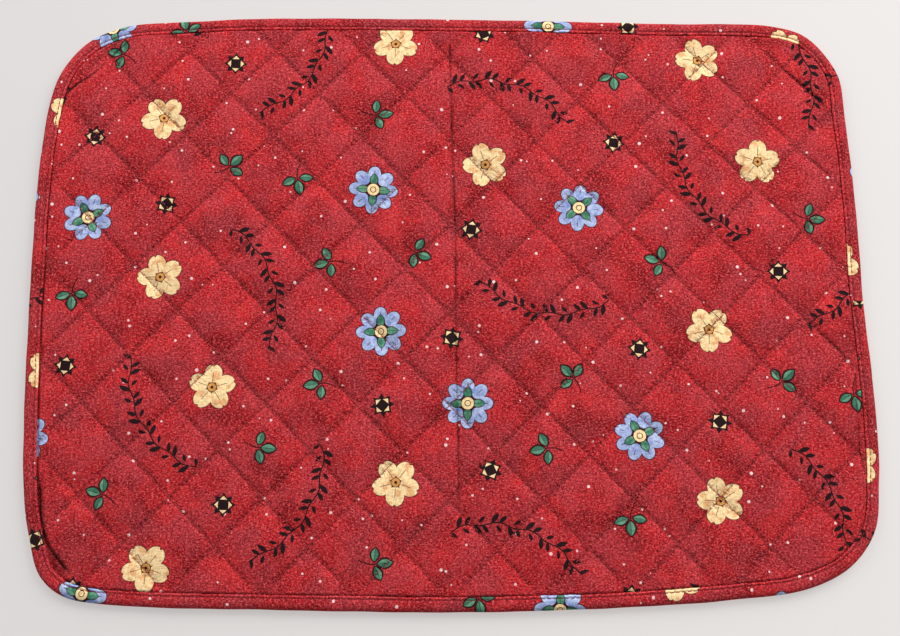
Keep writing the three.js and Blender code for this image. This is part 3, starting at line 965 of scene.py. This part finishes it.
steps = STITCHES_ROUND * STEPS_PER_STITCH
bpy.ops.object.select_all(action="DESELECT")
bpy.ops.mesh.primitive_grid_add(x_subdivisions=steps, y_subdivisions=len(SECTION), size=2)
binding = bpy.context.object
binding.name = "folded_binding"
grid = mesh_places(binding)
station = np.rint((grid[:, 0] + 1) / 2 * steps).astype(int)
point = np.rint((grid[:, 1] + 1) / 2 * len(SECTION)).astype(int)
edge, inward, reach = edge_places(steps)
section = np.array(SECTION)
turn = 2 * np.pi * np.arange(steps)[:, None] / steps
inset = reach[:, None] * section[:, 0] + section[:, 1]
height = np.repeat(section[None, :, 2], steps, axis=0)
from_groove = inset - (reach[:, None] - GROOVE_INSET)
on_top = smooth_step(3.2, 3.6, height)
hole = np.cos(turn * STITCHES_ROUND)
height = height - on_top * HOLE_DEPTH * hole * np.exp(-((from_groove / HOLE_REACH) ** 2))
# Handmade unevenness: the top swells, and the lip and the outer fold waver.
swelling = 0.07 * np.sin(23 * turn + 1) + 0.06 * np.sin(61 * turn) + 0.04 * np.sin(139 * turn + 2)
height = height + on_top * swelling * np.clip(-from_groove / 2, 0, 1)
lip_wave = 0.1 * np.sin(97 * turn) + 0.07 * np.sin(211 * turn + 1) + 0.06 * hole
inset = inset + lip_wave * on_top * smooth_step(-1, 1, from_groove)
outer_wave = 0.07 * np.sin(53 * turn) + 0.06 * np.sin(29 * turn + 2)
inset = inset + outer_wave * smooth_step(2.5, 0, inset)
flat = edge[:, None] + inward[:, None] * inset[:, :, None]
places = np.concatenate([flat, height[:, :, None]], axis=2)
move_points(binding, places[station % steps, point % len(SECTION)] * MM)

# The strip's print: along it from the first station, and across it from the outer fold.
profile = np.stack([np.mean(reach) * section[:, 0] + section[:, 1], section[:, 2]], axis=1)
across = np.linalg.norm(np.diff(np.vstack([profile, profile[:1]]), axis=0), axis=1)
across = np.concatenate([[0], np.cumsum(across)])
step_length = np.linalg.norm(np.diff(edge, axis=0), axis=1).mean()
corners = face_corners(binding)
cloth = np.stack([station * step_length, STRIP_PLACE + across[point]], axis=1)[corners]
lay_print(binding, cloth)
bpy.ops.object.mode_set(mode="EDIT")
bpy.ops.mesh.select_all(action="SELECT")
bpy.ops.mesh.remove_doubles(threshold=0.001 * MM)
bpy.ops.mesh.normals_make_consistent(inside=False)
bpy.ops.object.mode_set(mode="OBJECT")
bpy.ops.object.shade_smooth()


def strip_creases(tree):
    """The painted shade in the crease that the topstitching pulls and on the outer part that turns from
    the light, and a painted highlight on the lip: how much they darken or lighten the strip, and the
    crease's rise."""
    _, v = map_fields(tree, "cloth")
    crease = 1 - abs(v - (STRIP_PLACE + across[GROOVE_POINT])).between(0.2, 0.9)
    painted_lip_highlight = 1 - abs(v - (STRIP_PLACE + across[LIP_POINT])).between(0.3, 1.0)
    turned_away = 1 - (v - STRIP_PLACE).between(0.6, 3.2)
    # Painted shade in the groove and on the outer part, less a painted highlight along the lip.
    shade = crease * 0.06 + turned_away * 0.12 - painted_lip_highlight * 0.25
    return shade, crease * -0.12


material = printed_cotton("binding_cotton", STRIP_CRIMSON, STRIP_MAROON, STRIP_BRIGHT, strip_creases)
binding.data.materials.append(material)
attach(binding, "root")
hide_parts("binding")


# Quilting stitches
# A rosy red thread runs along every seam in short lockstitches, each a little off its even place.
STITCH_PITCH = 2.9
STITCH_LENGTH = 2.2
STITCH_WIDTH = 0.4
STITCH_HEIGHT = 0.4
STITCH_LIFT = 0.08
STRAY_ALONG, STRAY_ASIDE = 0.12, 0.07
CLEAR_OF_LIP = 1.2
SEWING_SEED = 5


def new_stitch(name):
    """One stitch, a small oblong ball of thread that lies along x."""
    bpy.ops.object.select_all(action="DESELECT")
    bpy.ops.mesh.primitive_uv_sphere_add(
        segments=6, ring_count=5, radius=0.5 * MM, rotation=(0, math.pi / 2, 0)
    )
    stitch = bpy.context.object
    stitch.name = name
    bpy.ops.object.transform_apply(rotation=True)
    bpy.ops.transform.resize(value=(STITCH_LENGTH, STITCH_WIDTH, STITCH_HEIGHT))
    bpy.ops.object.transform_apply(scale=True)
    return stitch


def copy_stitches(stitch, places, along):
    """Makes one stitch a whole row of them, joined: one at each place in millimetres, lying along its
    seam."""
    along = along / np.linalg.norm(along, axis=1)[:, None]
    aside = np.cross([0.0, 0.0, 1.0], along)
    aside /= np.linalg.norm(aside, axis=1)[:, None]
    up = np.cross(along, aside)
    points = mesh_places(stitch)[None]
    rows = [points[:, :, k : k + 1] * way[:, None] for k, way in enumerate((along, aside, up))]
    placed = places[:, None] * MM + sum(rows)
    faces = [list(face.vertices) for face in stitch.data.polygons]
    count = len(stitch.data.vertices)
    every = [[v + count * n for v in face] for n in range(len(places)) for face in faces]
    stitch.data.clear_geometry()
    stitch.data.from_pydata(placed.reshape(-1, 3).tolist(), [], every)
    stitch.data.update()
    bpy.ops.object.shade_smooth()


def thread_material(name, colour):
    """Matt cotton thread of one plain colour."""
    material, tree, surface = new_material(name)
    surface.inputs["Base Color"].default_value = display_colour(*colour)
    surface.inputs["Roughness"].default_value = 0.7
    surface.inputs["Specular IOR Level"].default_value = 0.2
    return material


rng = np.random.default_rng(SEWING_SEED)
sewn, ways = [], []
for seams in (RISING_SEAMS, FALLING_SEAMS):
    for offset, slope in seams[1:-1]:
        x = np.arange(-MAT_LENGTH / 2, MAT_LENGTH / 2, STITCH_PITCH / math.hypot(1, slope))
        x = x + rng.normal(0, STRAY_ALONG, len(x))
        y = offset + slope * x + rng.normal(0, STRAY_ASIDE, len(x))
        inset, width = nearest_edge(x, y)
        kept = inset > width + CLEAR_OF_LIP
        sewn.append(np.stack([x, y], axis=1)[kept])
        ways.append(np.tile(np.array([1, slope]) / math.hypot(1, slope), (kept.sum(), 1)))
sewn, ways = np.vstack(sewn), np.vstack(ways)
ends = [sewn + side * ways * STITCH_LENGTH / 2 for side in (-1, 1)]
low, high = [front_height(*end.T) for end in ends]
middle = front_height(*sewn.T)
quilting = new_stitch("quilting_stitches")
copy_stitches(quilting, np.c_[sewn, middle + STITCH_LIFT], np.c_[ways * STITCH_LENGTH, high - low])
quilting.data.materials.append(thread_material("quilting_thread", (186, 66, 72)))
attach(quilting, "root")


# Topstitching
# One row round the front of the binding, in the groove that it pulls, a little in from the lip. Each
# stitch lies between two needle holes.
THREAD_RISE = 0.16
topstitching = new_stitch("topstitching")
between = slice(STEPS_PER_STITCH // 2, None, STEPS_PER_STITCH)
groove = edge + inward * (reach - GROOVE_INSET)[:, None]
along = np.roll(groove, -1, axis=0) - np.roll(groove, 1, axis=0)
level = np.full(STITCHES_ROUND, GROOVE_TOP + THREAD_RISE)
copy_stitches(topstitching, np.c_[groove[between], level], np.c_[along[between], 0 * level])
topstitching.data.materials.append(thread_material("binding_thread", (140, 36, 44)))
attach(topstitching, "root")

# The mat was cut with round corners, so its cloth is the area that its outline holds.
next_place = np.roll(edge, -1, axis=0)
outline_area = 0.5 * np.sum(edge[:, 0] * next_place[:, 1] - edge[:, 1] * next_place[:, 0])
